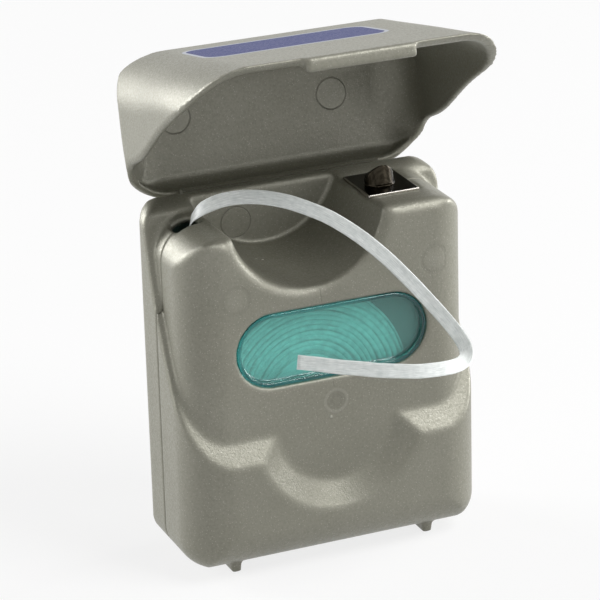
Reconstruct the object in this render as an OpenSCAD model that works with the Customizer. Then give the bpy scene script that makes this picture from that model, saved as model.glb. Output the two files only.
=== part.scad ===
// Pocket dental floss dispenser, lid open, in millimetres.
// Frame: X to the right seen from the front, Y to the back, Z up.
// Origin: middle of the case's flat underside. The lid is drawn in its open pose.

/* [Case] */
// overall width of the case
case_width = 48; // [40:0.5:60]
// depth from the proud front pad to the back face
case_depth = 20.8; // [17:0.1:28]
// height of the recessed front part, underside to block tops
block_height = 53.5; // [46:0.5:66]
// height of the proud back part behind the lid
back_height = 54.4; // [47:0.5:67]
// wall of both shells
wall = 1.2; // [0.8:0.1:1.8]
// upright corner radius at the front
front_corner = 7.3; // [6:0.1:9]
// upright corner radius at the back
back_corner = 2.9; // [1.5:0.1:4]
// rounding along the underside's sides and round its front corners
hem = 4.5; // [3:0.1:5.5]
// rounding from the front pad down to the underside
hem_front = 7; // [5:0.1:8]
// small rounding along the underside's back edge
hem_back = 1; // [0.5:0.1:2]
// top corner radius of the proud back part
crown_corner = 3.5; // [2:0.1:5]
// shoulder radius of the recessed front part
shoulder = 5.8; // [3:0.1:7]
// how much lower the block with the outlet is than the cutter's block
outlet_drop = 1; // [0:0.1:2]
// fold of the back part's top into the recess edge, seen from the side
crown_fold = 3.5; // [1:0.1:4]
// distance of the shells' parting plane from the front
parting = 13; // [10:0.1:15]

/* [Recess for the lid] */
// setback of the recessed face
face_inset = 2.7; // [1.8:0.1:3.5]
// setback of the recessed sides
side_inset = 1.1; // [0.8:0.1:1.6]
// height of the recess edge at the front
split_low = 17.4; // [12:0.1:24]
// depth of the proud back part, high up
crown_depth = 4.6; // [4:0.1:6]
// how far under the back part's top that depth is taken
split_drop = 4.4; // [3:0.1:8]
// radius of the bowed recess edge
split_radius = 76; // [50:1:150]

/* [Thumb and finger scoops] */
// height of the thumb scoop's centre
thumb_z = 21.35; // [16:0.05:26]
// thumb scoop radius at the front
thumb_outer = 13.5; // [10:0.1:16]
// thumb scoop radius at its floor
thumb_inner = 9.5; // [6:0.1:12]
// finger scoop radius
finger_r = 12.2; // [8:0.1:14]
// finger scoop centre, sideways
finger_x = -3.2; // [-6:0.1:2]
// lowest point of the finger scoop at the front face
finger_floor = 43.2; // [40:0.1:48]
// rounding of the finger scoop's front edge
finger_edge = 2; // [0.5:0.1:3]
// rise of the finger scoop's floor to the back
finger_rise = 8.2; // [0:0.1:12]
// drift of the finger scoop to the left, going back
finger_drift = 4.6; // [0:0.1:8]
// thickness of the back panel behind the finger scoop
panel = 2.1; // [1.5:0.1:3]

/* [Window] */
// height of the window's centre
window_z = 34.1; // [30:0.1:38]
// length of the window
window_length = 30.6; // [20:0.1:36]
// height of the window
window_height = 11.6; // [6:0.1:14]
// depth of the lens's sunk pane under its rim
lens_sink = 1.1; // [0.4:0.1:1.4]
// width of the lens's rim
lens_rim = 0.7; // [0.4:0.1:1.2]
// thickness of the lens's pane and flange
lens_pane = 0.8; // [0.5:0.1:1.2]
// flange of the lens behind the wall
lens_flange = 1.2; // [0.6:0.1:2]

/* [Lid] */
// lid opening, as photographed
lid_open = 101; // [0:1:136]
// wall of the lid
lid_wall = 1.2; // [0.8:0.1:1.6]
// how far the lid stands proud of the case at each side
lid_proud = 0.7; // [0:0.1:1]
// height of the closed lid's top above the back part
lid_rise = 4.1; // [2.4:0.1:6]
// room between the cutter's tongue and the closed lid
tongue_room = 0.3; // [0.3:0.1:2]
// upright corner radius of the lid
lid_corner = 8.2; // [5:0.1:10]
// upright corner radius of the lid at the hinge
lid_back_corner = 8; // [5:0.1:9]
// top corner radius of the lid seen from the front
lid_crown = 7; // [4:0.1:9]
// rounding from the lid's front to its top
lid_brow = 8.5; // [3:0.1:10]
// rounding from the lid's top to its back
lid_nape = 3; // [1.5:0.1:4]
// running gap between lid and case
lid_gap = 0.3; // [0.2:0.05:0.6]
// width of the thumb lip on the lid's front edge
lip_width = 17; // [8:0.5:24]
// height of the thumb lip
lip_height = 1.9; // [1:0.1:3]
// thickness of the thumb lip
lip_depth = 2.1; // [1.4:0.1:2.3]

/* [Hinge] */
// distance of the hinge line behind the back face
hinge_back = 1; // [0.8:0.1:1.6]
// hinge line under the back part's top edge
hinge_drop = 0.45; // [0.3:0.05:0.8]
// length of the hinge strip
hinge_length = 32; // [20:0.5:34]
// thickness of the hinge strip
hinge_thick = 1; // [0.7:0.1:1.2]

/* [Cutter] */
// right edge of the cutter plate from the recessed right side
cutter_inset = 6.1; // [5.8:0.1:8]
// front edge of the cutter plate, from the front
cutter_y = 7.9; // [6:0.1:10]
// width of the cutter plate
cutter_width = 8.3; // [6:0.1:10]
// length of the cutter plate
cutter_length = 9.7; // [7:0.1:10.4]
// thickness of the steel
cutter_thick = 0.5; // [0.3:0.05:0.8]
// how deep the plate sits in the block
cutter_seat = 0.2; // [0.1:0.05:0.4]
// height of the pressed tongue above the plate
tongue_height = 2.7; // [2.3:0.1:3.2]
// radius of the pressed tongue
tongue_r = 2.3; // [1.2:0.1:2.7]
// lean of the tongue to the back
tongue_lean = 14; // [0:1:25]

/* [Outlet and feet] */
// outlet centre from the recessed left side
outlet_inset = 4.3; // [3:0.1:6]
// outlet width
outlet_width = 3.5; // [3.4:0.1:4]
// how far the outlet starts in front of the parting plane
outlet_lead = 0.7; // [0.6:0.1:2]
// outlet depth, front to back
outlet_depth = 3.2; // [2.8:0.1:4]
// distance between the feet's centres
foot_spread = 31.8; // [20:0.2:34]
// width of a foot
foot_width = 1.6; // [1:0.1:3]
// height of a foot
foot_height = 1.5; // [0.8:0.1:2.5]
// distance of a foot's front end from the front
foot_front = 4.5; // [4:0.1:6]
// length of a foot, over both shells
foot_length = 13.7; // [9:0.1:15]

/* [Spool] */
// spool centre, sideways
spool_x = -3; // [-4:0.1:3]
// height of the spool's centre
spool_z = 25; // [21:0.1:26]
// radius of the spindle on the back shell
spindle_r = 3; // [2:0.1:4]
// running clearance of the hub on the spindle
spindle_gap = 0.1; // [0.05:0.05:0.3]
// outer radius of the hub
hub_r = 6.2; // [5:0.1:8]
// room over the wound floss, under the finger scoop
pack_room = 1; // [0.8:0.1:4]
// least room between the wound floss and the case's right side
pack_side_room = 2.7; // [1:0.1:6]
// room between the window and the wound floss
pack_window_room = 1.6; // [0.8:0.1:3]
// room behind the wound floss
pack_back_room = 0.9; // [0.6:0.1:3]
// end clearance of the hub
end_gap = 0.3; // [0.2:0.05:0.6]
// turns laid round the outside
side_turns = 10; // [4:1:12]
// turns laid over the end behind the window
face_turns = 11; // [4:1:12]

/* [Floss] */
// width of the tape
tape_width = 2.1; // [1.5:0.1:2.6]
// thickness of the tape
tape_thick = 0.3; // [0.15:0.05:0.5]

/* [Hidden] */
$fn = 64;
eps = 0.02;
far = 90;
// half widths
hx = case_width / 2;
rx = hx - side_inset;
lx = hx + lid_proud;
outlet_x = outlet_inset - rx;
// bowed recess edge: a circle through its low and high points
split_back = case_depth - crown_depth;
split_high = back_height - split_drop;
chord = [split_back, split_high - split_low];
chord_len = norm(chord);
bow = sqrt(split_radius * split_radius - chord_len * chord_len / 4);
split_y = split_back / 2 - chord[1] / chord_len * bow;
split_z = (split_low + split_high) / 2 + chord[0] / chord_len * bow;
// inner faces of the case
room_front = face_inset + wall;
room_back = case_depth - wall;
room_top = block_height - outlet_drop - wall;
panel_front = case_depth - panel;
// hinge line
hinge_y = case_depth + hinge_back;
hinge_z = back_height - hinge_drop;
hinge_r = hinge_thick / 2;
hinge_cover = 0.3;
lid_back = hinge_y + lid_wall / 2 + hinge_cover;
// cutter's left edge and underside
cutter_x = rx - cutter_inset - cutter_width;
cutter_z = block_height - cutter_seat;
lid_low_back = back_height + lid_gap;
tongue_top = tongue_height * cos(tongue_lean) + tongue_r * sin(tongue_lean);
lid_top = max(back_height + lid_rise, cutter_z + cutter_thick + tongue_top + tongue_room + lid_wall);
// small fit between pieces that are pressed together
fit = 0.05;
// spool
pack_r = min(finger_floor - wall - spool_z - pack_room, rx - wall + spool_x - pack_side_room);
pack_front = room_front + lens_pane + pack_window_room;
pack_width = room_back - pack_back_room - pack_front;
hub_front = pack_front - 0.6;
hub_back = room_back - end_gap;
turn_r = 0.19;
turn_seat = 0.03;
feed_room = 0.2;
corner_pitch = 1.2;
turn_hub_room = 0.92;
turn_steps = 24;

module place() translate([0, -case_depth / 2, 0]) children();

// upright solid: an outline seen from above, rounded at front and back
module from_above(w, y0, y1, rf, rb, z0, z1) {
  translate([0, 0, z0]) linear_extrude(z1 - z0) {
    translate([-w, y0 + rf]) square([2 * w, y1 - y0 - rf - rb]);
    translate([-w + rf, y0]) square([2 * (w - rf), rf + 1]);
    if (rb > 0) translate([-w + rb, y1 - rb - 1]) square([2 * (w - rb), rb + 1]);
    for (s = [-1, 1]) {
      translate([s * (w - rf), y0 + rf]) circle(rf);
      if (rb > 0) translate([s * (w - rb), y1 - rb]) circle(rb);
    }
  }
}

// solid along Y: an outline seen from the front, rounded at bottom and top
module from_front(w, z0, z1, rb, rt, y0, y1) {
  translate([0, y1, 0]) rotate([90, 0, 0]) linear_extrude(y1 - y0) {
    translate([-w, z0 + rb]) square([2 * w, z1 - z0 - rb - rt]);
    if (rb > 0) translate([-w + rb, z0]) square([2 * (w - rb), rb + 1]);
    if (rt > 0) translate([-w + rt, z1 - rt - 1]) square([2 * (w - rt), rt + 1]);
    for (s = [-1, 1]) {
      if (rb > 0) translate([s * (w - rb), z0 + rb]) circle(rb);
      if (rt > 0) translate([s * (w - rt), z1 - rt]) circle(rt);
    }
  }
}

// solid along X: an outline seen from the side with its four own radii
module from_side(y0, y1, z0, z1, r_fb, r_ft, r_bb, r_bt) {
  translate([-far / 2, 0, 0]) rotate([90, 0, 90]) linear_extrude(far) difference() {
    translate([y0, z0]) square([y1 - y0, z1 - z0]);
    nick(y0, z0, 1, 1, r_fb);
    nick(y0, z1, 1, -1, r_ft);
    nick(y1, z0, -1, 1, r_bb);
    nick(y1, z1, -1, -1, r_bt);
  }
}

// what a rounding takes off a square corner
module nick(y, z, sy, sz, r) {
  if (r > 0) difference() {
    translate([y - (sy > 0 ? eps : r), z - (sz > 0 ? eps : r)]) square(r + eps);
    translate([y + sy * r, z + sz * r]) circle(r);
  }
}

// the lid's side of the recess edge, moved back by gap
module lid_side(gap = 0) {
  translate([-far / 2, split_y, split_z]) rotate([0, 90, 0])
    cylinder(r = split_radius + gap, h = far, $fn = 180);
}

// the space behind the recess edge and under the back part's top, grown by gap
module back_zone(gap = 0) {
  difference() {
    union() {
      translate([-far / 2, -5, -5]) cube([far, far, back_height - crown_fold + 5]);
      from_side(split_back - gap, lid_back + 5, 0, back_height + gap, 0, crown_fold + gap, 0, 0);
    }
    lid_side(-gap);
  }
}

module case_skin() {
  difference() {
    intersection() {
      from_above(hx, 0, case_depth, front_corner, back_corner, -1, back_height + 1);
      from_front(hx, 0, back_height, hem, crown_corner, -1, case_depth + 1);
      from_side(-0.03, case_depth + 0.03, -0.01, back_height + 1, hem_front, 0, hem_back, 0);
    }
    for (s = [-1, 1]) front_corner_hem(s);
  }
}

// what the hem takes off the underside at a front corner, swept round the upright corner
module front_corner_hem(s) {
  intersection() {
    translate([s * (hx - front_corner), front_corner, 0]) rotate_extrude() difference() {
      translate([front_corner - hem, -1]) square([hem + 1, hem + 1]);
      translate([front_corner - hem, hem]) circle(hem);
    }
    translate([s > 0 ? hx - front_corner : -hx - 1, -1, -1])
      cube([front_corner + 1, front_corner + 1, hem + 1]);
  }
}

// front part under the lid: side is -1 for the outlet's block, 1 for the cutter's
module recessed_skin(side) {
  top = block_height - (side < 0 ? outlet_drop : 0);
  intersection() {
    from_above(rx, face_inset, panel_front + 1, front_corner - side_inset, 0, split_low / 2, top + 1);
    from_front(rx + 0.04, 0, top, 0, shoulder, 0, case_depth);
    from_side(face_inset - 0.03, case_depth, 0, top + 0.01, 0, finger_edge, 0, 0);
    translate([side < 0 ? finger_x - far : finger_x, 0, 0]) cube([far, far, far]);
  }
}

module thumb_scoop() {
  slope = (thumb_outer - thumb_inner) / face_inset;
  translate([0, face_inset, thumb_z]) rotate([90, 0, 0])
    cylinder(r1 = thumb_inner, r2 = thumb_outer + slope, h = face_inset + 1);
}

// the finger scoop's trough, grown by more for the wall round it
module finger_scoop(more = 0, back = panel_front) {
  intersection() {
    translate([finger_x, face_inset + finger_edge, finger_floor + finger_r]) {
      rotate([finger_rise, 0, finger_drift]) translate([0, 1.5 * case_depth, 0]) rotate([90, 0, 0])
        cylinder(r = finger_r + more, h = 2 * case_depth);
      if (more == 0) rotate([90, 0, 0]) rotate_extrude() difference() {
        square([finger_r + finger_edge, finger_edge + 3]);
        translate([finger_r + finger_edge, 0]) circle(finger_edge);
      }
    }
    translate([-hx, -5, finger_floor - 4]) cube([case_width, back + 5, far]);
  }
}

// an obround that lies across the front, grown by more
module obround(more, y0, y1) {
  r = window_height / 2 + more;
  run = (window_length - window_height) / 2;
  translate([0, y1, window_z]) rotate([90, 0, 0]) linear_extrude(y1 - y0) {
    for (s = [-1, 1]) translate([s * run, 0]) circle(r);
    translate([-run, -r]) square([2 * run, 2 * r]);
  }
}

// the space inside both shells
module room() {
  difference() {
    intersection() {
      from_above(rx - wall, room_front, room_back, front_corner - side_inset - wall, 1.5, wall, room_top);
      from_front(rx - wall + 0.04, wall, room_top, hem, shoulder - wall, 0, case_depth);
      from_side(room_front - 0.03, case_depth, wall, room_top + 1, hem_front - 2, 0, 0, 0);
    }
    finger_scoop(wall, case_depth);
  }
}

module shells() {
  difference() {
    union() {
      intersection() {
        case_skin();
        back_zone();
      }
      recessed_skin(-1);
      recessed_skin(1);
    }
    thumb_scoop();
    finger_scoop();
    room();
    obround(0, 0, room_front + 1);
    outlet();
    cutter_seat_cut();
  }
}

// the slot across the parting line that lets the tape out
module outlet() {
  translate([outlet_x - outlet_width / 2, parting - outlet_lead, room_top - wall])
    cube([outlet_width, outlet_depth, far]);
}

module cutter_seat_cut() {
  translate([cutter_x - fit, cutter_y - fit, cutter_z])
    cube([cutter_width + 2 * fit, cutter_length + 2 * fit, 5]);
  for (x = leg_x) translate([x - fit, cutter_y + leg_y - fit, block_height - wall - 2])
    cube([cutter_thick + 2 * fit, leg_width + 2 * fit, wall + 3]);
}

// the plate's two legs, bent down through the block
leg_x = [cutter_x, cutter_x + cutter_width - cutter_thick];
leg_y = 1.2;
leg_width = 2.6;
leg_drop = 2.4;

module before_parting(keep_front) {
  intersection() {
    children();
    translate([-far / 2, keep_front ? -far + parting : parting, -far / 2]) cube([far, far, 2 * far]);
  }
}

module feet() {
  for (s = [-1, 1]) translate([s * foot_spread / 2 - foot_width / 2, foot_front, -foot_height])
    cube([foot_width, foot_length, foot_height + wall * 0.9]);
}

module spindle() {
  translate([spool_x, room_back + wall / 2, spool_z]) rotate([90, 0, 0])
    cylinder(r = spindle_r, h = room_back + wall / 2 - hub_front + 0.4);
  translate([spool_x, room_back + wall / 2, spool_z]) rotate([90, 0, 0])
    cylinder(r = hub_r - 1, h = wall / 2 + eps);
}

module front_shell() color("silver") place() {
  before_parting(true) shells();
  before_parting(true) feet();
}

module back_shell() color("darkgray") place() {
  before_parting(false) shells();
  before_parting(false) feet();
  spindle();
}

module hinge_strip() color("gray") place() {
  translate([-hinge_length / 2, hinge_y, hinge_z]) rotate([0, 90, 0])
    cylinder(r = hinge_r, h = hinge_length);
  translate([-hinge_length / 2, case_depth, hinge_z - hinge_r * 0.8])
    cube([hinge_length, hinge_back, hinge_r * 1.6]);
}

// hood of the lid, shrunk by t all round
module hood(t) {
  intersection() {
    from_above(lx - t, t, lid_back - t, lid_corner - t, lid_back_corner - t, split_low - 5, lid_top);
    from_front(lx - t + 0.04, 0, lid_top - t, 0, lid_crown - t, -1, lid_back + 1);
    from_side(t - 0.03, lid_back - t + 0.03, 0, lid_top - t + 0.01, 0, lid_brow - t, 0, lid_nape - t * 0.6);
  }
}

// what the case's proud back part keeps from the lid
module back_keepout() {
  intersection() {
    back_zone(lid_gap);
    from_front(lx + 1, -5, back_height + lid_gap, 0, crown_corner + lid_gap, -5, lid_back + 5);
  }
  translate([-far / 2, case_depth - 1, -5]) cube([far, far, lid_low_back + 5]);
}

module lid_closed() {
  difference() {
    union() {
      difference() {
        hood(0);
        hood(lid_wall);
        back_keepout();
        translate([-far / 2, -5, -5]) cube([far, far, split_low + 5]);
      }
      intersection() {
        hood(0);
        translate([-lip_width / 2, -1, split_low]) cube([lip_width, lip_depth + 1, lip_height]);
      }
    }
    translate([-far / 2, hinge_y, hinge_z]) rotate([0, 90, 0])
      cylinder(r = hinge_r + lid_gap * 0.9, h = far);
  }
}

module lid() color("dimgray") place() {
  translate([0, hinge_y, hinge_z]) rotate([-lid_open, 0, 0]) translate([0, -hinge_y, -hinge_z]) lid_closed();
}

module window_lens() color("teal") place() {
  front = face_inset + 0.15;
  difference() {
    union() {
      obround(-fit, front, room_front + eps + fit);
      obround(lens_flange, room_front + fit, room_front + fit + lens_pane);
    }
    obround(-lens_rim, 0, front + lens_sink);
  }
}

module cutter_plate() color("black") place() {
  translate([cutter_x, cutter_y, cutter_z]) cube([cutter_width, cutter_length, cutter_thick]);
  for (x = leg_x) translate([x, cutter_y + leg_y, cutter_z - leg_drop])
    cube([cutter_thick, leg_width, leg_drop + eps]);
  tongue();
}

// tongue pressed up out of the plate: a leaning half tube with a round top
module tongue() {
  top = tongue_height - tongue_r;
  translate([cutter_x + cutter_width * 0.46, cutter_y + cutter_length * 0.5, cutter_z + cutter_thick])
    rotate([-tongue_lean, 0, 0]) intersection() {
      difference() {
        translate([0, 0, -0.3]) cylinder(r = tongue_r, h = tongue_height + 1);
        translate([0, 0, -1]) cylinder(r = tongue_r - cutter_thick, h = tongue_height + 3);
        translate([-2 * tongue_r, 0.2, -2]) cube([4 * tongue_r, 4 * tongue_r, far]);
      }
      union() {
        translate([0, 4, top]) rotate([90, 0, 0]) cylinder(r = tongue_r, h = 8);
        translate([-tongue_r, -4, -0.3]) cube([2 * tongue_r, 8, top + 0.3]);
      }
    }
}

module spool_hub() color("white") place() {
  translate([spool_x, hub_back, spool_z]) rotate([90, 0, 0]) difference() {
    cylinder(r = hub_r, h = hub_back - hub_front);
    translate([0, 0, -1]) cylinder(r = spindle_r + spindle_gap, h = hub_back - hub_front + 2);
  }
}

module floss_pack() color("ivory") place() {
  translate([spool_x, pack_front + pack_width, spool_z]) rotate([90, 0, 0]) difference() {
    cylinder(r = pack_r, h = pack_width, $fn = 96);
    translate([0, 0, -1]) cylinder(r = hub_r + eps, h = pack_width + 2);
  }
}

// the outer turns: along the pack's outside to the front, then inwards over its end
side_pitch = (pack_width - 0.8) / side_turns;
step_bow = pack_r * (1 / cos(180 / turn_steps) - 1);
turn_line_r = pack_r + turn_r + step_bow;
face_pitch = (turn_line_r - corner_pitch - hub_r - turn_hub_room) / (face_turns - 1);
turn_line_y = pack_front - turn_r - turn_seat;
function turn_y(k) = k < side_turns ? turn_line_y + (side_turns - k) * side_pitch : turn_line_y;
function turn_radius(k) = k < side_turns ? turn_line_r
  : turn_line_r - corner_pitch * min(k - side_turns, 1) - face_pitch * max(k - side_turns - 1, 0);
function turn_point(k) = let (r = turn_radius(k))
  [spool_x - r * cos(360 * k), turn_y(k), spool_z - r * sin(360 * k)];
function ring(k) = [for (i = [0:5]) let (a = 60 * i, r = turn_radius(k) + turn_r * cos(a))
  [spool_x - r * cos(360 * k), turn_y(k) - turn_r * sin(a), spool_z - r * sin(360 * k)]];
turns = side_turns + face_turns;
turn_rings = [for (n = [0:turns * turn_steps]) ring(n / turn_steps)];

// a closed tube through rings of equal length
module tube(rings) {
  n = len(rings);
  m = len(rings[0]);
  polyhedron(
    points = [for (r = rings) each r],
    faces = concat(
      [for (j = [1:m - 2]) [0, j, j + 1]],
      [for (i = [0:n - 2], j = [0:m - 1]) each [
        [i * m + j, (i + 1) * m + j, i * m + (j + 1) % m],
        [(i + 1) * m + j, (i + 1) * m + (j + 1) % m, i * m + (j + 1) % m]]],
      [for (j = [1:m - 2]) [(n - 1) * m, (n - 1) * m + j + 1, (n - 1) * m + j]]));
}

module floss_winding() color("snow") place() tube(turn_rings);

// least gap of the winding to itself, between points more than half a turn apart
self_gap = min([for (n = [0:2:(turns - 1) * turn_steps])
  min([for (m = [n + 14:1:min(n + 34, turns * turn_steps)])
    norm(turn_point(n / turn_steps) - turn_point(m / turn_steps))])]) - 2 * turn_r;
echo(winding_least_gap = self_gap);

// the tape's straight line inside the case, from the winding's back end to the outlet
outlet_point = [outlet_x, parting, block_height - outlet_drop];
feed_start = [spool_x - turn_line_r - turn_r - feed_room, turn_y(0) - turn_r, spool_z + tape_width / 2];
feed_end = outlet_point + [0.9, 1.3, -1.7];
feed_steps = 6;
feed_line = [for (k = [0:feed_steps]) feed_start + (feed_end - feed_start) * k / feed_steps];
// its line outside, measured from the outlet to the cut end, chosen by hand
tail_route = [
  [0.9, 1.2, -1.2], [1.1, 0.6, 0.2], [1.7, -0.6, 1.6], [2.7, -2.1, 2.8], [4, -3.8, 3.9],
  [5.7, -5.7, 4.7], [7.5, -7.5, 5.1], [9.5, -9.2, 5.1], [11.8, -11, 4.7], [14.2, -12.6, 3.8],
  [16.6, -13.8, 2.6], [18.9, -14.8, 1], [21.1, -15.6, -0.8], [23.2, -16.2, -2.8], [25.2, -16.7, -4.9],
  [27.1, -17.2, -7.1], [29, -17.6, -9.4], [30.8, -18.1, -11.7], [32.5, -18.9, -14], [33.8, -20.4, -16.1],
  [34.1, -22.9, -17.6], [33, -25.5, -18.2], [30.9, -27.6, -18.1], [28.4, -29.1, -17.6],
  [25.7, -30, -17.1], [22.8, -30.5, -16.6], [19.9, -30.5, -16], [17, -30.1, -15.5], [14.2, -29.5, -14.9],
  [11.4, -28.8, -14.4], [8.6, -27.9, -13.8], [5.8, -27, -13.3]];
tail_line = [for (p = tail_route) outlet_point + p];
// the side that the tape's edge turns to in the slot, and its flat once it has twisted out
tape_faces = [-0.36, -0.85, 0.38];
twist_steps = 3.5;

// a smooth line through l, with one more point between each two
function at(l, i) = l[max(0, min(len(l) - 1, i))];
function smooth(l) = [for (i = [0:len(l) - 1]) each
  i == len(l) - 1 ? [l[i]] : [l[i], (9 * (l[i] + l[i + 1]) - at(l, i - 1) - at(l, i + 2)) / 16]];
function along(l, i) = let (d = at(l, i + 1) - at(l, i - 1)) d / norm(d);
// flat section at p: w is the way of its width, t the way it runs
function section(p, t, w) = let (w0 = w - (w * t) * t, w1 = w0 / norm(w0), h1 = cross(t, w1))
  [for (q = [[1, 0], [0.9, 1], [0, 1], [-0.9, 1], [-1, 0], [-0.9, -1], [0, -1], [0.9, -1]])
    p + q[0] * tape_width / 2 * w1 + q[1] * tape_thick / 2 * h1];
function feed_rings() = [for (i = [0:len(feed_line) - 1])
  section(feed_line[i], along(feed_line, i), [0, -1, 0])];
function tail_rings(l) = [for (i = [0:len(l) - 1]) let (t = along(l, i), b = max(0, 1 - i / 2 / twist_steps))
  section(l[i], t, (1 - b) * cross(t, tape_faces) + b * tape_faces)];
tail = smooth(tail_line);
function run_length(l, i = 1) = i < len(l) ? norm(l[i] - l[i - 1]) + run_length(l, i + 1) : 0;
echo(tail_length = run_length(tail));

module floss_feed() color("snow") place() tube(feed_rings());
module floss_tail() color("white") place() tube(tail_rings(tail));

front_shell();
back_shell();
hinge_strip();
lid();
window_lens();
cutter_plate();
spool_hub();
floss_pack();
floss_winding();
floss_feed();
floss_tail();
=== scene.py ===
"""Looks of a pocket dental floss dispenser with its lid open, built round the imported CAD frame."""
import math

import bpy
import numpy as np
from mathutils import Matrix, Vector
from mathutils.bvhtree import BVHTree
from mathutils.kdtree import KDTree


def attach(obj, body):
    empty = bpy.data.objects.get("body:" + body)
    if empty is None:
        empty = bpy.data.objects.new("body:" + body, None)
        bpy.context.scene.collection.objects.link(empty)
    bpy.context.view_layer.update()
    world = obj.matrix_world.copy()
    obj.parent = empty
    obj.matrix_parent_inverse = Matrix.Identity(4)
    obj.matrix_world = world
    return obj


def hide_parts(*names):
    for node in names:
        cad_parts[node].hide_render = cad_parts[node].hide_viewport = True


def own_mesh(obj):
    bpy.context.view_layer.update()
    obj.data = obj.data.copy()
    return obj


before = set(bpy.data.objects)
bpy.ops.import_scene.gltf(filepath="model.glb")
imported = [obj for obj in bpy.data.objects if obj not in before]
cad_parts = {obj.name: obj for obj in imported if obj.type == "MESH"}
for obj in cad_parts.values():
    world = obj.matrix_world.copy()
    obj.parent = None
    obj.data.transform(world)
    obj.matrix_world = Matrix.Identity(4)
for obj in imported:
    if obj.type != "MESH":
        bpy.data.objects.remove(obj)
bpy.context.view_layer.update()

# Points and sizes named after the part are in the CAD source's millimetres, and MM brings them to metres.
# The row frame is the source's with y moved back by half the case's depth.
MM = 0.001
HALF_DEPTH = 10.4
FEET_HEIGHT = 1.5
HINGE_Y, HINGE_Z, LID_OPEN = 21.8, 53.95, math.radians(101)


def row(x, y, z):
    """A point of the CAD source, in millimetres, as a point of the row frame."""
    return Vector((x, y - HALF_DEPTH, z)) * MM


# camera, lamps and stage

# fitted to corners, edges and the window's outline in the photo
CAMERA_AT = Vector((-0.17007, -0.40436, 0.20963))
AZIMUTH, ELEVATION, ROLL = math.radians(-22.572), math.radians(21.379), math.radians(-1.629)
LENS_MM, SENSOR_MM = 188.7, 36
CLIP_START = 0.01

# name: azimuth and elevation in degrees, as the camera's, and watts, all fitted to the photo's shading
LAMPS = {
    "right": (90, 10, 7.2),
    "rear_left": (-140, 12, 7.2),
    "high_right": (45, 50, 5.6),
    "left": (-100, 10, 2.0),
    "front_right": (40, 20, 1.0)}
LAMP_AWAY, LAMP_SIZE = 0.9, 0.45
LAMPS_AIM = Vector((0, 0, 0.04))

# the world's light on the object, and how far the floor is plain white to look at
AMBIENT = 0.06
FLOOR_WHITE = 0.8
FLOOR_HALF, FLOOR_BELOW_FEET = 1.6, 0.00002
FLOOR_TONE, FLOOR_ROUGH = 0.86, 0.9


def towards(azimuth, elevation):
    """The unit vector to a place seen at azimuth from the front and elevation above the floor."""
    return Vector((math.sin(azimuth) * math.cos(elevation), -math.cos(azimuth) * math.cos(elevation),
                   math.sin(elevation)))


def make_camera():
    back = towards(AZIMUTH, ELEVATION)
    right = Vector((math.cos(AZIMUTH), math.sin(AZIMUTH), 0))
    up = back.cross(right)
    c, s = math.cos(ROLL), math.sin(ROLL)
    turn = Matrix((c * right + s * up, -s * right + c * up, back)).transposed()
    camera = bpy.data.objects.new("camera", bpy.data.cameras.new("camera"))
    camera.data.lens = LENS_MM
    camera.data.sensor_width = SENSOR_MM
    camera.data.clip_start = CLIP_START
    camera.matrix_world = Matrix.Translation(CAMERA_AT) @ turn.to_4x4()
    bpy.context.scene.collection.objects.link(camera)
    bpy.context.scene.camera = camera


def make_lights():
    for name, (azimuth, elevation, watts) in LAMPS.items():
        data = bpy.data.lights.new(name, "AREA")
        data.shape = "RECTANGLE"
        data.size = data.size_y = LAMP_SIZE
        data.energy = watts
        o = bpy.data.objects.new(name, data)
        o.location = LAMPS_AIM + LAMP_AWAY * towards(math.radians(azimuth), math.radians(elevation))
        o.rotation_euler = (LAMPS_AIM - o.location).to_track_quat("-Z", "Y").to_euler()
        bpy.context.scene.collection.objects.link(o)
    bpy.context.scene.view_settings.view_transform = "Standard"


def seen_plainly(tree):
    """1 for a ray from the camera, a reflection or a refraction, and 0 for a ray that only gathers light."""
    path = tree.nodes.new("ShaderNodeLightPath")
    out = path.outputs["Is Camera Ray"]
    for kind in ("Is Glossy Ray", "Is Transmission Ray"):
        both = tree.nodes.new("ShaderNodeMath")
        both.operation = "MAXIMUM"
        tree.links.new(out, both.inputs[0])
        tree.links.new(path.outputs[kind], both.inputs[1])
        out = both.outputs[0]
    return out


def make_world():
    """White to look at, and a far dimmer light on the object."""
    world = bpy.data.worlds.new("studio")
    bpy.context.scene.world = world
    world.use_nodes = True
    tree = world.node_tree
    back = tree.nodes["Background"]
    back.inputs["Color"].default_value = (1, 1, 1, 1)
    strength = tree.nodes.new("ShaderNodeMapRange")
    tree.links.new(seen_plainly(tree), strength.inputs["Value"])
    strength.inputs["To Min"].default_value = AMBIENT
    strength.inputs["To Max"].default_value = 1.0
    tree.links.new(strength.outputs[0], back.inputs["Strength"])


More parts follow.
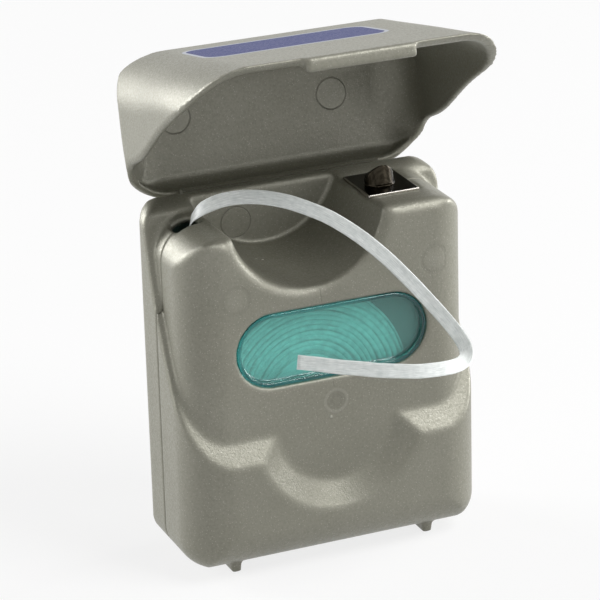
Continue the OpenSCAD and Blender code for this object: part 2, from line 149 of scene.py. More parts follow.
def make_stage():
    """A floor that is mostly plain white to look at and still shows the object's shadow."""
    mesh = bpy.data.meshes.new("floor")
    s, z = FLOOR_HALF, -FEET_HEIGHT * MM - FLOOR_BELOW_FEET
    mesh.from_pydata([(-s, -s, z), (s, -s, z), (s, s, z), (-s, s, z)], [], [(0, 1, 2, 3)])
    floor = bpy.data.objects.new("floor", mesh)
    bpy.context.scene.collection.objects.link(floor)
    m = bpy.data.materials.new("floor_white")
    m.use_nodes = True
    tree = m.node_tree
    shaded = tree.nodes["Principled BSDF"]
    shaded.inputs["Base Color"].default_value = (FLOOR_TONE, FLOOR_TONE, FLOOR_TONE, 1)
    shaded.inputs["Roughness"].default_value = FLOOR_ROUGH
    white = tree.nodes.new("ShaderNodeEmission")
    white.inputs["Strength"].default_value = 1.0
    mix = tree.nodes.new("ShaderNodeMixShader")
    share = tree.nodes.new("ShaderNodeMath")
    share.operation = "MULTIPLY"
    share.inputs[1].default_value = FLOOR_WHITE
    tree.links.new(seen_plainly(tree), share.inputs[0])
    tree.links.new(share.outputs[0], mix.inputs[0])
    tree.links.new(shaded.outputs[0], mix.inputs[1])
    tree.links.new(white.outputs[0], mix.inputs[2])
    tree.links.new(mix.outputs[0], tree.nodes["Material Output"].inputs["Surface"])
    floor.data.materials.append(m)


# node helpers

# how far from its plane a round mark still shows on a surface
MARK_REACH = 0.4 * MM
LINE_WAVE, LINE_HALF_WIDTH, LINE_REACH = 0.5 * MM, 0.16 * MM, 0.5 * MM


class Tree:
    """Short names for building one material's nodes. Masks are 1 on their shape and 0 elsewhere."""

    def __init__(self, name):
        self.material = bpy.data.materials.new(name)
        self.material.use_nodes = True
        self.tree = self.material.node_tree
        self.shader = self.tree.nodes["Principled BSDF"]
        self.position = self.tree.nodes.new("ShaderNodeTexCoord").outputs["Object"]

    def link(self, a, b):
        self.tree.links.new(a, b)

    def put(self, socket, value):
        """Links a node's output to socket, or sets socket to a plain number or colour."""
        if isinstance(value, bpy.types.NodeSocket):
            self.link(value, socket)
        elif hasattr(value, "__len__") and len(value) == 3 and socket.type == "RGBA":
            socket.default_value = (*value, 1)
        else:
            socket.default_value = value

    def math(self, kind, a, b=0.0):
        n = self.tree.nodes.new("ShaderNodeMath")
        n.operation = kind
        self.put(n.inputs[0], a)
        self.put(n.inputs[1], b)
        return n.outputs[0]

    def vector(self, kind, a, b=(0, 0, 0)):
        n = self.tree.nodes.new("ShaderNodeVectorMath")
        n.operation = kind
        self.put(n.inputs[0], a)
        self.put(n.inputs[1], b)
        return n.outputs["Value" if kind in ("LENGTH", "DOT_PRODUCT") else "Vector"]

    def split(self, v):
        n = self.tree.nodes.new("ShaderNodeSeparateXYZ")
        self.link(v, n.inputs[0])
        return n.outputs

    def noise(self, scale, detail=2.0, rough=0.5, at=None):
        n = self.tree.nodes.new("ShaderNodeTexNoise")
        self.link(at or self.position, n.inputs["Vector"])
        n.inputs["Scale"].default_value = scale
        n.inputs["Detail"].default_value = detail
        n.inputs["Roughness"].default_value = rough
        return n.outputs["Fac"]

    def cells(self, scale):
        """The distance to the nearest of a set of scattered points."""
        n = self.tree.nodes.new("ShaderNodeTexVoronoi")
        self.link(self.position, n.inputs["Vector"])
        n.inputs["Scale"].default_value = scale
        return n.outputs["Distance"]

    def ramp(self, value, low, high, to_low=0.0, to_high=1.0):
        """Goes smoothly from to_low to to_high while value goes from low to high."""
        n = self.tree.nodes.new("ShaderNodeMapRange")
        n.interpolation_type = "SMOOTHSTEP"
        sockets = ("Value", "From Min", "From Max", "To Min", "To Max")
        for socket, v in zip(sockets, (value, low, high, to_low, to_high)):
            self.put(n.inputs[socket], v)
        return n.outputs["Result"]

    def mix(self, factor, a, b):
        n = self.tree.nodes.new("ShaderNodeMix")
        n.data_type = "RGBA"
        self.put(n.inputs[0], factor)
        self.put(n.inputs[6], a)
        self.put(n.inputs[7], b)
        return n.outputs[2]

    def bump(self, height, strength, distance, normal=None):
        n = self.tree.nodes.new("ShaderNodeBump")
        self.put(n.inputs["Height"], height)
        n.inputs["Strength"].default_value = strength
        n.inputs["Distance"].default_value = distance
        if normal is not None:
            self.link(normal, n.inputs["Normal"])
        return n.outputs[0]

    def offset(self, centre):
        return self.vector("SUBTRACT", self.position, tuple(centre))

    def on_plane(self, off, normal):
        """1 near the plane square to normal that off is measured from."""
        out = self.math("ABSOLUTE", self.vector("DOT_PRODUCT", off, tuple(normal)))
        return self.ramp(out, MARK_REACH, MARK_REACH * 0.6)

    def ring(self, centre, normal, radius, width):
        """A thin circle round centre, in the plane square to normal."""
        off = self.offset(centre)
        far = self.math("ABSOLUTE", self.math("SUBTRACT", self.vector("LENGTH", off), radius))
        return self.math("MULTIPLY", self.on_plane(off, normal), self.ramp(far, width, width * 0.2))

    def disc(self, centre, normal, radius, edge):
        """A filled circle, its border as soft as twice edge."""
        off = self.offset(centre)
        inside = self.ramp(self.vector("LENGTH", off), radius + edge, radius - edge)
        return self.math("MULTIPLY", self.on_plane(off, normal), inside)

    def line(self, centre, half):
        """A fine wavy upright line on the case's front, as where two flows of plastic met."""
        x, y, z = self.split(self.offset(centre))
        wave = self.math("MULTIPLY", self.math("SUBTRACT", self.noise(1500), 0.5), LINE_WAVE)
        aside = self.math("ABSOLUTE", self.math("ADD", x, wave))
        across = self.ramp(aside, LINE_HALF_WIDTH, LINE_HALF_WIDTH / 4)
        along = self.ramp(self.math("ABSOLUTE", z), half, half * 0.6)
        near = self.ramp(self.math("ABSOLUTE", y), LINE_REACH, LINE_REACH * 0.6)
        return self.math("MULTIPLY", across, self.math("MULTIPLY", along, near))

    def past(self, coordinate, limit):
        """How far the coordinate's size is over limit, and 0 below it."""
        return self.math("MAXIMUM", self.math("SUBTRACT", self.math("ABSOLUTE", coordinate), limit), 0)

    def hypotenuse(self, a, b):
        return self.math("SQRT", self.math("ADD", self.math("MULTIPLY", a, a), self.math("MULTIPLY", b, b)))


# materials

PEARL_METAL = 0.35
PEARL = (0.252, 0.247, 0.203)
PEARL_DARK = (0.160, 0.157, 0.118)
PEARL_FLAKE = (0.60, 0.60, 0.53)
MARK_DARK = (0.06, 0.055, 0.045)


def pearl(name, marks=()):
    """Moulded pearl-grey plastic: fine grain, faint flow clouds, sparkle, and moulding marks in it.

    A mark is a mask's name, the mask's arguments, a shade (above 0 dark, below 0 light) and a height."""
    t = Tree(name)
    cloud = t.noise(55, 3, 0.6)
    grain = t.noise(2600, 2, 0.7)
    fine = t.noise(5200, 1, 0.5)
    flake = t.ramp(t.cells(2300), 0.22, 0.1)
    colour = t.mix(t.ramp(cloud, 0.3, 0.75), PEARL_DARK, PEARL)
    colour = t.mix(0.72, colour, PEARL)
    colour = t.mix(t.ramp(grain, 0.35, 0.75, 0.0, 0.42), colour, PEARL_DARK)
    colour = t.mix(t.math("MULTIPLY", flake, 0.32), colour, PEARL_FLAKE)
    normal = t.bump(grain, 0.30, 0.00012)
    normal = t.bump(fine, 0.25, 0.00005, normal)
    masks = {"ring": t.ring, "disc": t.disc, "line": t.line}
    for kind, args, shade, height in marks:
        mask = masks[kind](*args)
        colour = t.mix(t.math("MULTIPLY", mask, abs(shade)), colour, MARK_DARK if shade > 0 else PEARL_FLAKE)
        normal = t.bump(mask, 1.0, height, normal)
    t.put(t.shader.inputs["Base Color"], colour)
    t.put(t.shader.inputs["Normal"], normal)
    t.put(t.shader.inputs["Roughness"], t.ramp(grain, 0.2, 0.8, 0.33, 0.49))
    t.shader.inputs["Metallic"].default_value = PEARL_METAL
    return t


def open_lid(x, y, z):
    """A point of the closed lid, carried to where it is with the lid open."""
    c, s = math.cos(-LID_OPEN), math.sin(-LID_OPEN)
    dy, dz = y - HINGE_Y, z - HINGE_Z
    return row(x, HINGE_Y + c * dy - s * dz, HINGE_Z + s * dy + c * dz)


def lid_direction(y, z):
    """A direction on the closed lid, as it points with the lid open."""
    return (open_lid(0, HINGE_Y + y, HINGE_Z + z) - open_lid(0, HINGE_Y, HINGE_Z)).normalized()


# on the closed lid: the two ejector marks on the ceiling, and the printed band's middle on the front
LID_CEILING, EJECTOR_Y, EJECTOR_X = 57.3, 11.0, (11.1, -14.5)
PRINT_AT = (-2.5, 0, 39.6)
# half its length, half its height and its corners' radius, for the outline and for the band in it
PRINT_OUTLINE, PRINT_BAND = (14.6, 6.6, 3.0), (14.0, 6.0, 2.4)
PRINT_SOFT = 0.06
PRINT_LINE, PRINT_BLUE = (0.40, 0.42, 0.47), (0.012, 0.022, 0.13)
PRINT_SPECULAR, PLAIN_SPECULAR = 0.12, 0.5


def lid_material():
    """The case's plastic with two ejector marks inside and a plain rounded band printed outside."""
    up, ahead = lid_direction(0, 1), lid_direction(-1, 0)
    marks = []
    for x in EJECTOR_X:
        at = open_lid(x, EJECTOR_Y, LID_CEILING)
        marks += [("ring", (at, up, 2.45 * MM, 0.15 * MM), 0.32, -0.00005),
                  ("disc", (at, up, 2.35 * MM, 0.1 * MM), -0.06, 0.00002)]
    t = pearl("lid_pearl", marks)
    colour = t.shader.inputs["Base Color"].links[0].from_socket
    off = t.offset(open_lid(*PRINT_AT))
    x, z = t.split(off)[0], t.vector("DOT_PRODUCT", off, tuple(up))
    depth = t.math("ABSOLUTE", t.vector("DOT_PRODUCT", off, tuple(ahead)))
    outside = t.ramp(depth, 0.5 * MM, 0.3 * MM)

    def rounded(half_x, half_z, r):
        d = t.hypotenuse(t.past(x, (half_x - r) * MM), t.past(z, (half_z - r) * MM))
        return t.math("MULTIPLY", outside, t.ramp(d, (r + PRINT_SOFT) * MM, (r - PRINT_SOFT) * MM))

    band = rounded(*PRINT_BAND)
    colour = t.mix(rounded(*PRINT_OUTLINE), colour, PRINT_LINE)
    colour = t.mix(band, colour, PRINT_BLUE)
    t.put(t.shader.inputs["Base Color"], colour)
    t.put(t.shader.inputs["Metallic"], t.ramp(band, 0, 1, PEARL_METAL, 0))
    t.put(t.shader.inputs["Specular IOR Level"], t.ramp(band, 0, 1, PLAIN_SPECULAR, PRINT_SPECULAR))
    return t.material


# the case's front face and the panel behind the finger scoop
FACE_Y, PANEL_Y = 2.7, 18.7


def case_material(name):
    """The pearl plastic with the marks in the photo.

    They are a ring on the panel, the gate's rounds and pip, two weld lines and two faint rounds."""
    rear = row(-8.6, PANEL_Y, 49.0)
    gate = row(0.15, FACE_Y, 24.4)
    y = (0, 1, 0)
    marks = [("ring", (rear, y, 2.4 * MM, 0.14 * MM), 0.34, -0.00005),
             ("disc", (gate, y, 1.9 * MM, 0.5 * MM), 0.13, -0.00004),
             ("ring", (gate, y, 1.75 * MM, 0.4 * MM), -0.10, 0.00004),
             ("ring", (gate, y, 0.8 * MM, 0.4 * MM), 0.08, -0.00003),
             # the pip: a small raised bump, its lighter colour a painted highlight on it
             ("disc", (row(-0.7, FACE_Y, 21.9), y, 0.22 * MM, 0.16 * MM), -0.30, 0.00010),
             ("line", (row(-1.9, FACE_Y, 41.6), 1.3 * MM), 0.16, -0.00003),
             ("line", (row(-0.2, FACE_Y, 27.4), 0.9 * MM), 0.12, -0.00003)]
    for x, z in ((-15.4, 43.0), (16.6, 44.1)):
        marks += [("ring", (row(x, FACE_Y, z), y, 2.1 * MM, 0.5 * MM), 0.07, -0.00003),
                  ("disc", (row(x, FACE_Y, z), y, 1.2 * MM, 0.9 * MM), -0.06, 0.00003)]
    return pearl(name, marks).material


# the window's opening: its middle's height, half its straight run and its ends' radius
WINDOW_Z, WINDOW_RUN, WINDOW_R = 34.1, 9.5, 5.8
# the second colour is painted shade round the lens's rim, for the shadow in the gap at its edge and the
# longer way light runs through the plastic there
TEAL, TEAL_RIM_SHADE, TEAL_THROUGH = (0.36, 0.78, 0.72), (0.03, 0.30, 0.31), (0.62, 0.93, 0.91)


def teal_material():
    """Clear teal plastic with painted shade round its rim. Light goes straight through it to what lies
    behind.
    """
    t = Tree("teal_clear")
    s = t.shader
    x, _, z = t.split(t.offset(row(0, 0, WINDOW_Z)))
    # painted shade: a darker teal band round the rim
    rim_shade = t.ramp(t.hypotenuse(t.past(x, WINDOW_RUN * MM), z), (WINDOW_R - 0.75) * MM, (WINDOW_R - 0.35) * MM)
    t.put(s.inputs["Base Color"], t.mix(rim_shade, TEAL, TEAL_RIM_SHADE))
    s.inputs["Roughness"].default_value = 0.06
    s.inputs["IOR"].default_value = 1.49
    s.inputs["Transmission Weight"].default_value = 0.88
    s.inputs["Specular IOR Level"].default_value = 0.2
    t.put(s.inputs["Normal"], t.bump(t.noise(900, 2, 0.5), 0.05, 0.00004))
    through = t.tree.nodes.new("ShaderNodeBsdfTransparent")
    through.inputs["Color"].default_value = (*TEAL_THROUGH, 1)
    path = t.tree.nodes.new("ShaderNodeLightPath")
    mix = t.tree.nodes.new("ShaderNodeMixShader")
    lit = t.math("MAXIMUM", path.outputs["Is Shadow Ray"], path.outputs["Is Diffuse Ray"])
    t.link(lit, mix.inputs[0])
    t.link(s.outputs[0], mix.inputs[1])
    t.link(through.outputs[0], mix.inputs[2])
    t.link(mix.outputs[0], t.tree.nodes["Material Output"].inputs["Surface"])
    return t.material


# the cutter plate's middle in x and y, and half its sides
CUTTER_MIDDLE, CUTTER_HALF = (12.65, 12.75), (4.15, 4.85)


def steel_material():
    """Blackened spring steel, brushed, with lighter metal along the edges: bare steel where it was cut, and a
    painted highlight there.
    """
    t = Tree("cutter_steel")
    s = t.shader
    grain = t.noise(1, 3, 0.6, at=t.vector("MULTIPLY", t.position, (900, 9000, 900)))
    x, y, _ = t.split(t.offset(row(*CUTTER_MIDDLE, 0)))
    out = t.math("MAXIMUM", t.math("SUBTRACT", t.math("ABSOLUTE", x), CUTTER_HALF[0] * MM),
                 t.math("SUBTRACT", t.math("ABSOLUTE", y), CUTTER_HALF[1] * MM))
    # the band along the plate's edges, lighter: partly bare cut steel, partly a painted highlight
    edge = t.ramp(out, -0.22 * MM, -0.08 * MM)
    black = t.mix(t.ramp(grain, 0.3, 0.7), (0.016, 0.013, 0.009), (0.042, 0.036, 0.026))
    t.put(s.inputs["Base Color"], t.mix(edge, black, (0.42, 0.40, 0.37)))
    s.inputs["Metallic"].default_value = 1.0
    t.put(s.inputs["Roughness"], t.ramp(grain, 0.2, 0.8, 0.16, 0.28))
    t.put(s.inputs["Normal"], t.bump(grain, 0.12, 0.00003))
    return t.material


def tape_material(name, uv=True):
    """Satin waxed tape: fine threads along it, a milky sheen, and light showing through.

    With uv the threads follow the ribbon's map; without it they are fine grain in all directions."""
    t = Tree(name)
    s = t.shader
    coords = t.tree.nodes.new("ShaderNodeUVMap").outputs[0] if uv else t.position
    along = t.vector("MULTIPLY", coords, (24, 50, 0) if uv else (900, 900, 900))
    thread = t.noise(1, 3, 0.55, at=along)
    cloud = t.noise(1, 2, 0.5, at=t.vector("MULTIPLY", coords, (2, 110, 0) if uv else (120, 120, 120)))
    colour = t.mix(t.ramp(thread, 0.3, 0.7), (0.56, 0.59, 0.575), (0.78, 0.805, 0.79))
    colour = t.mix(t.ramp(cloud, 0.35, 0.8, 0.0, 0.35), colour, (0.42, 0.46, 0.455))
    t.put(s.inputs["Base Color"], colour)
    s.inputs["Roughness"].default_value = 0.42
    s.inputs["Subsurface Weight"].default_value = 0.35
    s.inputs["Subsurface Radius"].default_value = (0.5, 0.5, 0.5)
    s.inputs["Subsurface Scale"].default_value = 0.0006
    s.inputs["Sheen Weight"].default_value = 0.25
    t.put(s.inputs["Normal"], t.bump(thread, 0.35, 0.00006))
    return t.material


HUB_WHITE = (0.8, 0.81, 0.8)


def hub_material():
    t = Tree("hub_white")
    grain = t.noise(1800, 2, 0.6)
    shaded = tuple(0.88 * c for c in HUB_WHITE)
    t.put(t.shader.inputs["Base Color"], t.mix(t.ramp(grain, 0.3, 0.7), shaded, HUB_WHITE))
    t.shader.inputs["Roughness"].default_value = 0.5
    t.put(t.shader.inputs["Normal"], t.bump(grain, 0.2, 0.00005))
    return t.material


# meshes


def new_object(name, points, faces, material):
    """A smooth object from points of the CAD source."""
    mesh = bpy.data.meshes.new(name)
    mesh.from_pydata([tuple(row(*p)) for p in points], [], [tuple(f) for f in faces])
    mesh.update()
    mesh.polygons.foreach_set("use_smooth", [True] * len(mesh.polygons))
    o = bpy.data.objects.new(name, mesh)
    o.data.materials.append(material)
    bpy.context.scene.collection.objects.link(o)
    return o


def read(items, attribute, width=1, kind=float):
    """An attribute of all the vertices, edges, loops or faces of a mesh as one array."""
    out = np.zeros(len(items) * width, kind)
    items.foreach_get(attribute, out)
    return out.reshape(-1, width) if width > 1 else out


def sharp_points(mesh, angle, step):
    """Points along the creases of a triangle mesh that turn by more than angle."""
    ends = read(mesh.edges, "vertices", 2, int)
    co = read(mesh.vertices, "co", 3)
    normals = [[] for _ in ends]
    for p in mesh.polygons:
        for k in p.loop_indices:
            normals[mesh.loops[k].edge_index].append(p.normal.copy())
    out = []
    for (a, b), ns in zip(ends, normals):
        if len(ns) == 2 and ns[0].angle(ns[1], 0) > angle:
            n = max(1, int(np.linalg.norm(co[a] - co[b]) / step))
            out += [co[a] + (co[b] - co[a]) * k / n for k in range(n + 1)]
    return np.array(out)


def crease_angles(mesh):
    """The angle between the two faces at each edge of a mesh, and 0 where there aren't two."""
    normals = read(mesh.polygons, "normal", 3)
    sizes = read(mesh.polygons, "loop_total", kind=int)
    edge_of = read(mesh.loops, "edge_index", kind=int)
    face_of = np.repeat(np.arange(len(sizes)), sizes)
    order = np.argsort(edge_of, kind="stable")
    edges, faces = edge_of[order], face_of[order]
    pair = np.nonzero(edges[1:] == edges[:-1])[0]
    dots = (normals[faces[pair]] * normals[faces[pair + 1]]).sum(axis=1)
    out = np.zeros(len(mesh.edges))
    out[edges[pair]] = np.arccos(np.clip(dots, -1, 1))
    return out


def ease(w):
    """Goes smoothly from 0 to 1 while w does, and stays there beyond."""
    w = np.clip(w, 0, 1)
    return w * w * (3 - 2 * w)


def bake(o):
    """Applies the modifiers of o to its mesh."""
    bpy.context.view_layer.update()
    made = bpy.data.meshes.new_from_object(o.evaluated_get(bpy.context.evaluated_depsgraph_get()))
    o.modifiers.clear()
    o.data = made


def tree_of(points):
    tree = KDTree(len(points))
    for i, p in enumerate(points):
        tree.insert(p, i)
    tree.balance()
    return tree


CREASE_ANGLE, CREASE_STEP = math.radians(28), 0.06 * MM
WELD, SAME_PLANE = 1e-6, 1e-5
RELAX = 0.6

# the two shells' parting plane, how far its edge is rounded and from how far vertices move on to it
PARTING_Y = (13 - HALF_DEPTH) * MM
SEAM_REACH, SEAM_SNAP = 0.34 * MM, 0.2 * MM

# the finger scoop's trough, where the seam doesn't show: its middle, half its width, the height it starts at,
# the way it runs, and how far each shell's surface carries on into the other's there
SCOOP_X, SCOOP_HALF, SCOOP_Z = -3.2 * MM, 12.5 * MM, 41.5 * MM
SCOOP_WAY = np.array((-0.079, 0.987, 0.143))
SCOOP_OVER, SCOOP_OVER_REACH = 0.3 * MM, 0.5 * MM
SCOOP_SHARP = math.radians(35)


def soften(node, voxel, reach, rounds, name):
    """A copy of a CAD node in even quads, its creases rounded and its faces left where they are.

    The shells' seam stays tight: vertices near it move on to it, and the rounding there is narrow."""
    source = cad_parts[node]
    o = bpy.data.objects.new(name, source.data.copy())
    bpy.context.scene.collection.objects.link(o)
    weld = o.modifiers.new("weld", "WELD")
    weld.merge_threshold = WELD
    bake(o)
    surface = BVHTree.FromPolygons([v.co.copy() for v in o.data.vertices],
                                   [tuple(p.vertices) for p in o.data.polygons])
    creases = sharp_points(o.data, CREASE_ANGLE, CREASE_STEP)
    on_seam = (np.abs(creases[:, 1] - PARTING_Y) < SAME_PLANE) & node.endswith("shell")
    free = tree_of(creases[~on_seam][::4])
    seam = tree_of(creases[on_seam]) if on_seam.any() else None
    remesh = o.modifiers.new("remesh", "REMESH")
    remesh.mode = "VOXEL"
    remesh.voxel_size = voxel
    bake(o)
    mesh = o.data
    co = np.array([surface.find_nearest(v.co)[0] for v in mesh.vertices])
    w = ease(1 - np.array([free.find(c)[2] for c in co]) / reach)
    if seam:
        nearest = [seam.find(c) for c in co]
        gap = np.array([n[2] for n in nearest])
        on = gap < SEAM_SNAP
        co[on] = np.array([n[0] for n in nearest])[on]
        hidden = (np.abs(co[:, 0] - SCOOP_X) < SCOOP_HALF) & (co[:, 2] > SCOOP_Z) & (gap < 4 * SEAM_REACH)
        w = np.where(gap < SEAM_REACH, 0.5 * ease(1 - gap / SEAM_REACH), w * ease(gap / (2 * SEAM_REACH)))
        w[hidden] = 0
        over = SCOOP_OVER * ease(1 - gap / SCOOP_OVER_REACH) * hidden * (1 if node == "front_shell" else -1)
        co = co + over[:, None] * SCOOP_WAY
    ends = read(mesh.edges, "vertices", 2, int)
    co = relaxed(co, ends, w[:, None], rounds)
    mesh.vertices.foreach_set("co", co.astype(np.float32).ravel())
    mesh.polygons.foreach_set("use_smooth", [True] * len(mesh.polygons))
    mesh.update()
    if seam:
        sharp = hidden[ends].any(axis=1) & (crease_angles(mesh) > SCOOP_SHARP)
        mesh.attributes.new("sharp_edge", "BOOLEAN", "EDGE").data.foreach_set("value", sharp)
    mesh.materials.clear()
    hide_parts(node)
    return o


def relaxed(co, ends, w, rounds):
    """Moves each vertex towards the middle of its neighbours by its weight w, a number of times."""
    count = np.bincount(ends.ravel(), minlength=len(co))[:, None]
    for _ in range(rounds):
        total = np.stack([np.bincount(ends[:, 0], co[ends[:, 1], k], len(co))
                          + np.bincount(ends[:, 1], co[ends[:, 0], k], len(co)) for k in range(3)], axis=1)
        co = co + RELAX * w * (total / np.maximum(count, 1) - co)
    return co


# The hood's side edges run straighter in the photo: how far each is drawn in, about which height and over
# which half height, and the edge's depth there.
EDGE_IN, EDGE_MIDDLE, EDGE_HALF, EDGE_DEPTH = 1.4 * MM, 34 * MM, 14 * MM, 10.6 * MM
# The inner corner at each edge's upper end: where it is, how far it is filled, how widely and which way, and
# how far out sideways that starts and is full.
FOLD_AT, FOLD_FILL, FOLD_REACH, FOLD_WAY = (16.9 * MM, 54.6 * MM), 1.2 * MM, 2.6 * MM, (0.75, -0.66)
FOLD_FROM, FOLD_FULL = 19 * MM, 22 * MM


def straighten(lid):
    """Draws the hood's side edges in a little towards its front, on the closed lid's own axes."""
    hinge = np.array(row(0, HINGE_Y, HINGE_Z))
    front = -HALF_DEPTH * MM
    off = read(lid.data.vertices, "co", 3) - hinge
    c, s = math.cos(LID_OPEN), math.sin(LID_OPEN)
    y, z = c * off[:, 1] - s * off[:, 2] + hinge[1], s * off[:, 1] + c * off[:, 2] + hinge[2]
    near = np.cos(np.clip((z - EDGE_MIDDLE) / EDGE_HALF, -1, 1) * math.pi / 2) ** 2
    y = front + (y - front) * (1 - near * EDGE_IN / EDGE_DEPTH)
    away = np.hypot(y - front - FOLD_AT[0], z - FOLD_AT[1])
    outer = ease((np.abs(off[:, 0]) - FOLD_FROM) / (FOLD_FULL - FOLD_FROM))
    fill = FOLD_FILL * np.exp(-(away / FOLD_REACH) ** 2) * outer
    dy, dz = y + FOLD_WAY[0] * fill - hinge[1], z + FOLD_WAY[1] * fill - hinge[2]
    off[:, 1], off[:, 2] = c * dy + s * dz, -s * dy + c * dz
    lid.data.vertices.foreach_set("co", (off + hinge).astype(np.float32).ravel())
    lid.data.update()


# the tape

# its route from the outlet to the cut end, as points measured from the outlet's middle
OUTLET = (-18.6, 13, 52.5)
TAIL_ROUTE = [
    (0.9, 1.2, -1.2), (1.1, 0.6, 0.2), (1.7, -0.6, 1.6), (2.7, -2.1, 2.8), (4, -3.8, 3.9), (5.7, -5.7, 4.7),
    (7.5, -7.5, 5.1), (9.5, -9.2, 5.1), (11.8, -11, 4.7), (14.2, -12.6, 3.8), (16.6, -13.8, 2.6),
    (18.9, -14.8, 1), (21.1, -15.6, -0.8), (23.2, -16.2, -2.8), (25.2, -16.7, -4.9), (27.1, -17.2, -7.1),
    (29, -17.6, -9.4), (30.8, -18.1, -11.7), (32.5, -18.9, -14), (33.8, -20.4, -16.1), (34.1, -22.9, -17.6),
    (33, -25.5, -18.2), (30.9, -27.6, -18.1), (28.4, -29.1, -17.6), (25.7, -30, -17.1), (22.8, -30.5, -16.6),
    (19.9, -30.5, -16), (17, -30.1, -15.5), (14.2, -29.5, -14.9), (11.4, -28.8, -14.4), (8.6, -27.9, -13.8),
    (5.8, -27, -13.3)]
# the way its flat side faces, and over how many points at the outlet it turns to that
TAPE_FACES = np.array((-0.36, -0.85, 0.38))
TAPE_TWIST = 14
TAPE_WIDTH, TAPE_THICK, TAPE_BOW, TAPE_WRINKLE = 2.1, 0.14, 0.05, 0.02
# how much its borders thin out, quads over its width, and its map's length for a millimetre
TAPE_THINS, TAPE_ACROSS, TAPE_MAP = 0.7, 12, 0.01
FEED_START, FEED_END, FEED_STEPS = np.array((-19.7, 17.5, 26.0)), np.array((-17.7, 14.3, 50.8)), 20


def smoothed(line):
    """One more point between each two, on a smooth curve through all of them."""
    out = []
    for i, p in enumerate(line):
        out.append(p)
        if i + 1 < len(line):
            before, after = line[max(i - 1, 0)], line[min(i + 2, len(line) - 1)]
            out.append((9 * (p + line[i + 1]) - before - after) / 16)
    return out


def ribbon(line, width_way, material, name, wrinkle=0.0):
    """A thin flat tape of closed section along a line, with its width and length as its map."""
    rng = np.random.default_rng(7)
    waves = rng.uniform(0, 6.28, 6)
    points, uvs = [], []
    run = 0.0
    across = np.linspace(-1, 1, TAPE_ACROSS + 1)
    for i, p in enumerate(line):
        t = line[min(i + 1, len(line) - 1)] - line[max(i - 1, 0)]
        t = t / np.linalg.norm(t)
        w = width_way(i, t)
        w = w - w.dot(t) * t
        w = w / np.linalg.norm(w)
        h = np.cross(t, w)
        if i:
            run += np.linalg.norm(p - line[i - 1])
        for side in (1, -1):
            for q in across[::side]:
                bow = TAPE_BOW * (1 - q * q)
                ripple = math.sin(run * 2.1 + waves[0] + 2 * q) * 0.5 + math.sin(run * 0.9 + waves[1] - q)
                edge = 1 - TAPE_THINS * abs(q) ** 8
                lift = bow + wrinkle * ripple + side * edge * TAPE_THICK / 2
                points.append(p + w * q * TAPE_WIDTH / 2 + h * lift)
                uvs.append((0.5 + 0.5 * q, run * TAPE_MAP))
    ring = 2 * len(across)
    n = len(line)
    faces = [(i * ring + j, i * ring + (j + 1) % ring, (i + 1) * ring + (j + 1) % ring, (i + 1) * ring + j)
             for i in range(n - 1) for j in range(ring)]
    faces += [tuple(range(ring))[::-1], tuple((n - 1) * ring + j for j in range(ring))]
    o = new_object(name, points, faces, material)
    layer = o.data.uv_layers.new(name="tape")
    for loop in o.data.loops:
        layer.data[loop.index].uv = uvs[loop.vertex_index]
    return o


def make_tape():
    line = [np.array(OUTLET) + np.array(p) for p in TAIL_ROUTE]
    line = smoothed(smoothed(line))

    def way(i, t):
        b = max(0.0, 1 - i / TAPE_TWIST)
        return (1 - b) * np.cross(t, TAPE_FACES) + b * TAPE_FACES

    tape = ribbon(line, way, tape_material("tape_satin"), "floss_tape", TAPE_WRINKLE)
    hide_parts("floss_tail")
    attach(tape, "case")
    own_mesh(tape)


def make_feed():
    line = [FEED_START + (FEED_END - FEED_START) * k / FEED_STEPS for k in range(FEED_STEPS + 1)]
    feed = ribbon(line, lambda i, t: np.array((0, -1.0, 0)), tape_material("feed_satin"), "floss_feed_tape")
    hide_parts("floss_feed")
    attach(feed, "case")


# the wound floss

SPOOL_X, SPOOL_Z = -3.0, 25.0
PACK_R, HUB_R, PACK_FRONT, PACK_WIDTH, PACK_FACETS = 16.0, 6.2, 6.3, 12.4, 24
# turns round the outside and over the end, and the tape's own section
SIDE_TURNS, FACE_TURNS, TURN_STEPS, TURN_SIDES = 10, 11, 72, 10
TURN_HALF_WIDTH, TURN_HALF_THICK = 0.40, 0.19
# clear of the pack's end, of its rear edge and of the hub, and how far the first turn over the end steps in
CLEAR_END, CLEAR_REAR, CLEAR_HUB, STEP_IN = 0.03, 0.8, 0.92, 1.2
WANDER, WANDER_TWICE = 0.10, 0.06
# the core beneath: ridges by height and pitch, and its points round, along the end and along the side
RIDGE, END_RIDGES, SIDE_RIDGES = 0.05, 0.4, 0.6
CORE_AROUND, CORE_END_STEP, CORE_SIDE_STEP = 128, 0.13, 0.2


def round_spool(r, angle, y):
    """A point at radius r and angle about the spool's axis."""
    return SPOOL_X - r * math.cos(angle), y, SPOOL_Z - r * math.sin(angle)


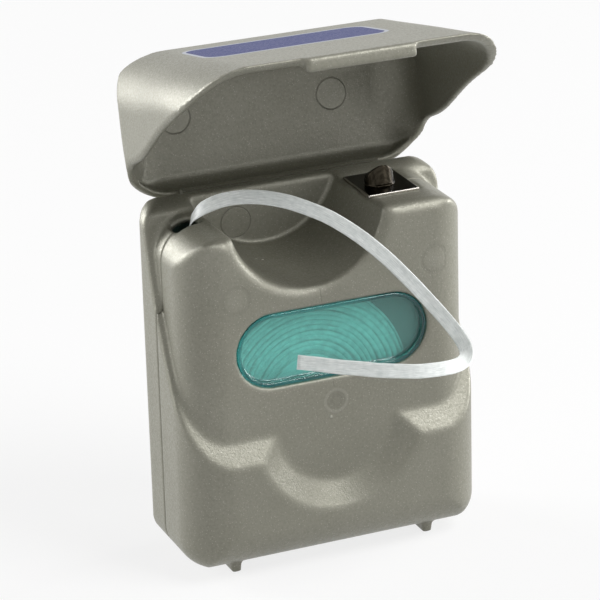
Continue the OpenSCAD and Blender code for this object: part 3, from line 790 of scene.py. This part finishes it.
def make_winding():
    """The outer turns as one long flattened tape over a ridged core of the turns beneath."""
    rng = np.random.default_rng(11)
    wander = rng.uniform(0, 6.28, (FACE_TURNS + SIDE_TURNS + 2, 3))
    line_r = PACK_R / math.cos(math.pi / PACK_FACETS) + TURN_HALF_THICK
    line_y = PACK_FRONT - TURN_HALF_THICK - CLEAR_END
    pitch = (line_r - STEP_IN - HUB_R - CLEAR_HUB) / (FACE_TURNS - 1)
    side_pitch = (PACK_WIDTH - CLEAR_REAR) / SIDE_TURNS
    points, faces = [], []
    steps = (SIDE_TURNS + FACE_TURNS) * TURN_STEPS
    for n in range(steps + 1):
        k = n / TURN_STEPS
        angle = 2 * math.pi * k
        over = k - SIDE_TURNS
        flat = min(max(over, 0), 1)
        r = line_r - STEP_IN * flat - pitch * max(over - 1, 0)
        y = line_y + max(-over, 0) * side_pitch
        w = wander[int(k)] * (1 - k % 1) + wander[int(k) + 1] * (k % 1)
        shift = WANDER * math.sin(angle + w[0]) + WANDER_TWICE * math.sin(2 * angle + w[1])
        for j in range(TURN_SIDES):
            a = 2 * math.pi * j / TURN_SIDES
            u, v = math.cos(a) * TURN_HALF_WIDTH, math.sin(a) * TURN_HALF_THICK
            if over >= 0:
                dr = u * flat + v * (1 - flat) + shift * flat
                dy = -v * flat + u * (1 - flat)
            else:
                dr, dy = v, u + shift
            points.append(round_spool(r + dr, angle, y + dy))
    for i in range(steps):
        for j in range(TURN_SIDES):
            a, b = i * TURN_SIDES + j, i * TURN_SIDES + (j + 1) % TURN_SIDES
            faces.append((a, a + TURN_SIDES, b + TURN_SIDES, b))
    faces += [tuple(range(TURN_SIDES)), tuple(steps * TURN_SIDES + j for j in range(TURN_SIDES))[::-1]]
    material = tape_material("floss_wound", uv=False)
    turns_piece = new_object("floss_turns", points, faces, material)
    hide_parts("floss_winding")
    core = winding_core(material)
    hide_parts("floss_pack")
    for o in (turns_piece, core):
        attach(o, "bobbin")


def winding_core(material):
    """A ring-shaped body with fine spiral ridges on its end and its side, as of the turns beneath."""
    rear = PACK_FRONT + PACK_WIDTH
    profile = [(HUB_R + 0.02, PACK_FRONT)]
    profile += [(r, PACK_FRONT) for r in np.arange(HUB_R + 0.3, PACK_R - 0.1, CORE_END_STEP)]
    profile += [(PACK_R, PACK_FRONT + 0.1)]
    profile += [(PACK_R, y) for y in np.arange(PACK_FRONT + 0.3, rear - 0.1, CORE_SIDE_STEP)]
    profile += [(PACK_R - 0.1, rear), (HUB_R + 0.02, rear)]
    points, faces = [], []
    for r, y in profile:
        for j in range(CORE_AROUND):
            a = 2 * math.pi * j / CORE_AROUND
            dr = -RIDGE * math.cos(2 * math.pi * y / SIDE_RIDGES + a) if r == PACK_R else 0
            dy = RIDGE * math.cos(2 * math.pi * r / END_RIDGES + 3 * a) if y == PACK_FRONT else 0
            points.append(round_spool(r + dr, a, y + dy))
    n = len(profile)
    for i in range(n):
        for j in range(CORE_AROUND):
            a, b = i * CORE_AROUND + j, i * CORE_AROUND + (j + 1) % CORE_AROUND
            faces.append((a, b, (i + 1) % n * CORE_AROUND + b % CORE_AROUND, (i + 1) % n * CORE_AROUND + j))
    return new_object("floss_core", points, faces, material)


# everything in its order


def dress():
    """Gives each moulded or pressed piece its softened copy and its look."""
    case = case_material("case_pearl")
    # node, body, slot, voxel, reach and rounds of the softening, the piece's name, its material
    shells = [("front_shell", "case", "case", 0.36, 0.9, 7, "case_front", case),
              ("back_shell", "case", "case", 0.36, 0.9, 7, "case_back", case),
              ("lid", "lid", "lid", 0.36, 0.8, 6, "lid_hood", lid_material()),
              ("window_lens", "case", "lens", 0.2, 0.4, 3, "window_clear", teal_material()),
              ("cutter_plate", "case", "steel", 0.11, 0.2, 3, "cutter_steel", steel_material())]
    for node, body, slot, voxel, reach, rounds, name, material in shells:
        o = soften(node, voxel * MM, reach * MM, rounds, name)
        if node == "lid":
            straighten(o)
        o.data.materials.append(material)
        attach(o, body)
    kept = {"hinge_strip": case, "spool_hub": hub_material()}
    for node, material in kept.items():
        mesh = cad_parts[node].data
        mesh.materials.clear()
        mesh.materials.append(material)


make_camera()
make_world()
make_stage()
make_lights()
make_tape()
make_feed()
make_winding()
dress()
